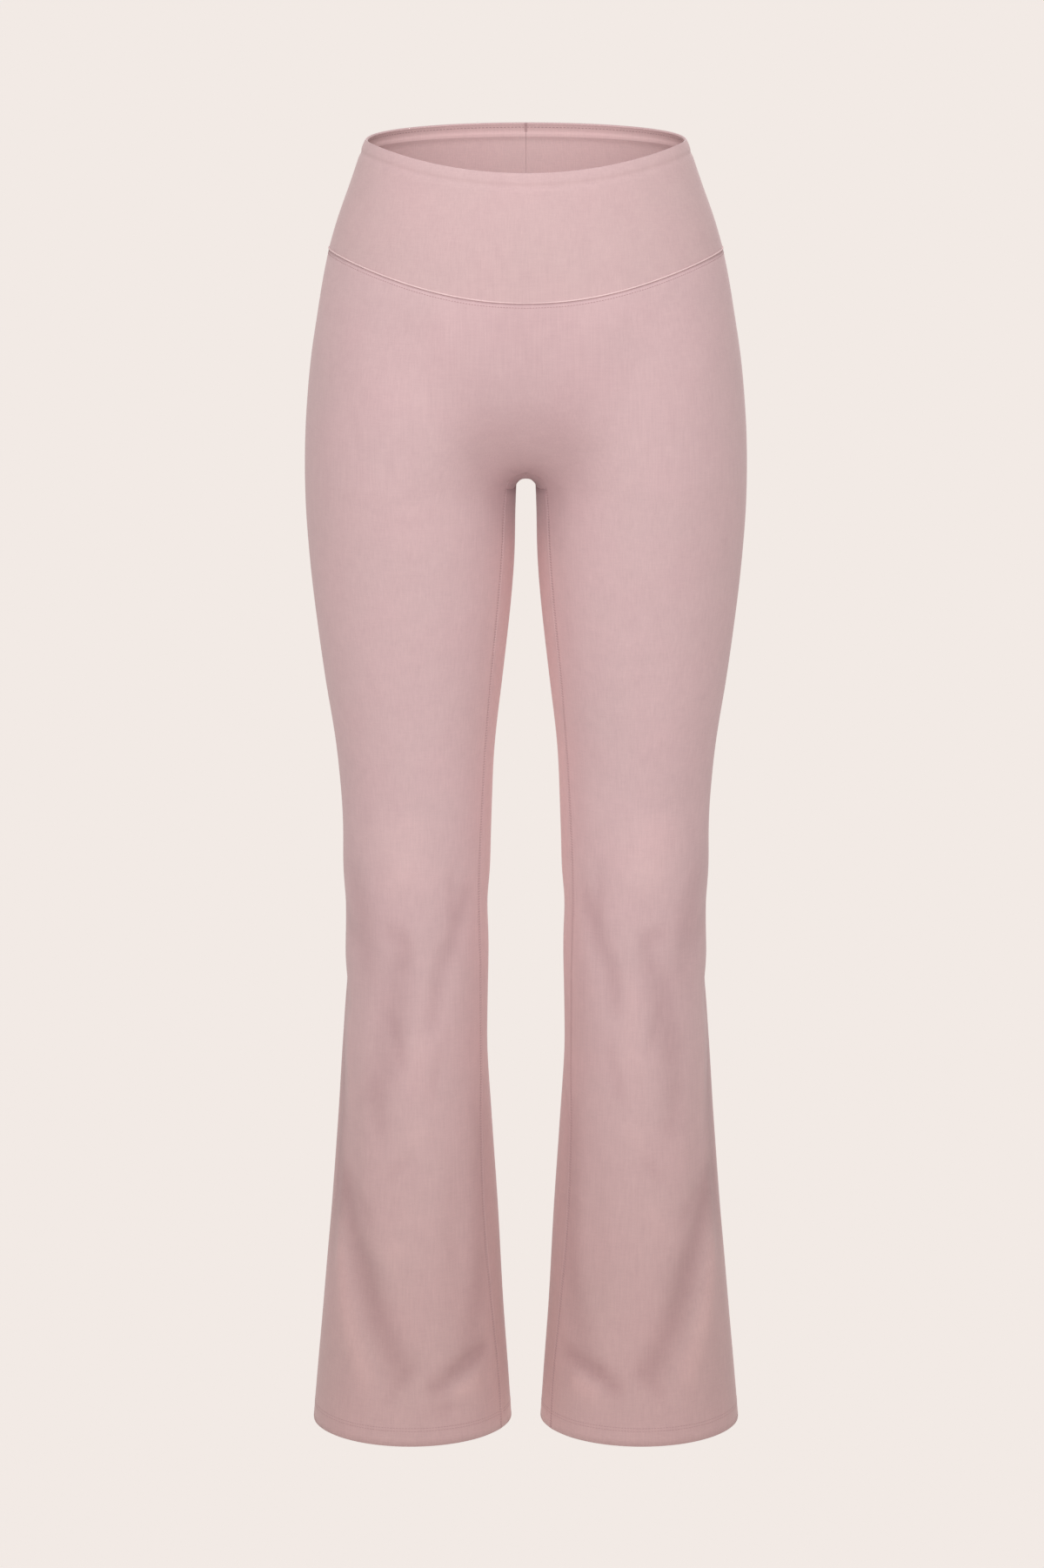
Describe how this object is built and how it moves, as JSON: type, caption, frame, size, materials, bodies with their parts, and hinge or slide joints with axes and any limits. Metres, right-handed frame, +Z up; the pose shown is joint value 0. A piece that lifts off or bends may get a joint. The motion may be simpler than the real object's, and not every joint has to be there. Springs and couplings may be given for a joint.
{
  "type": "flared trousers",
  "caption": "High-waisted stretch trousers with a wide yoke-shaped waistband, slim thighs and flared legs, standing open and hollow as worn.",
  "frame": {"origin": "middle of the waist opening, level with the top edge at the sides, where the wearer holds the garment up", "axes": "+Z up along the body, the front faces -Y, +X points to the wearer's left"},
  "size_m": [0.3652, 0.2414, 1.091],
  "materials": {
    "waistband_jersey": "matte",
    "leg_jersey": "matte"
  },
  "bodies": {
    "root": {"waistband_front": "waistband_jersey", "waistband_back_left": "waistband_jersey", "waistband_back_right": "waistband_jersey", "front_panel": "leg_jersey", "back_panel_left": "leg_jersey", "back_panel_right": "leg_jersey", "gusset": "leg_jersey"}
  },
  "joints": []
}
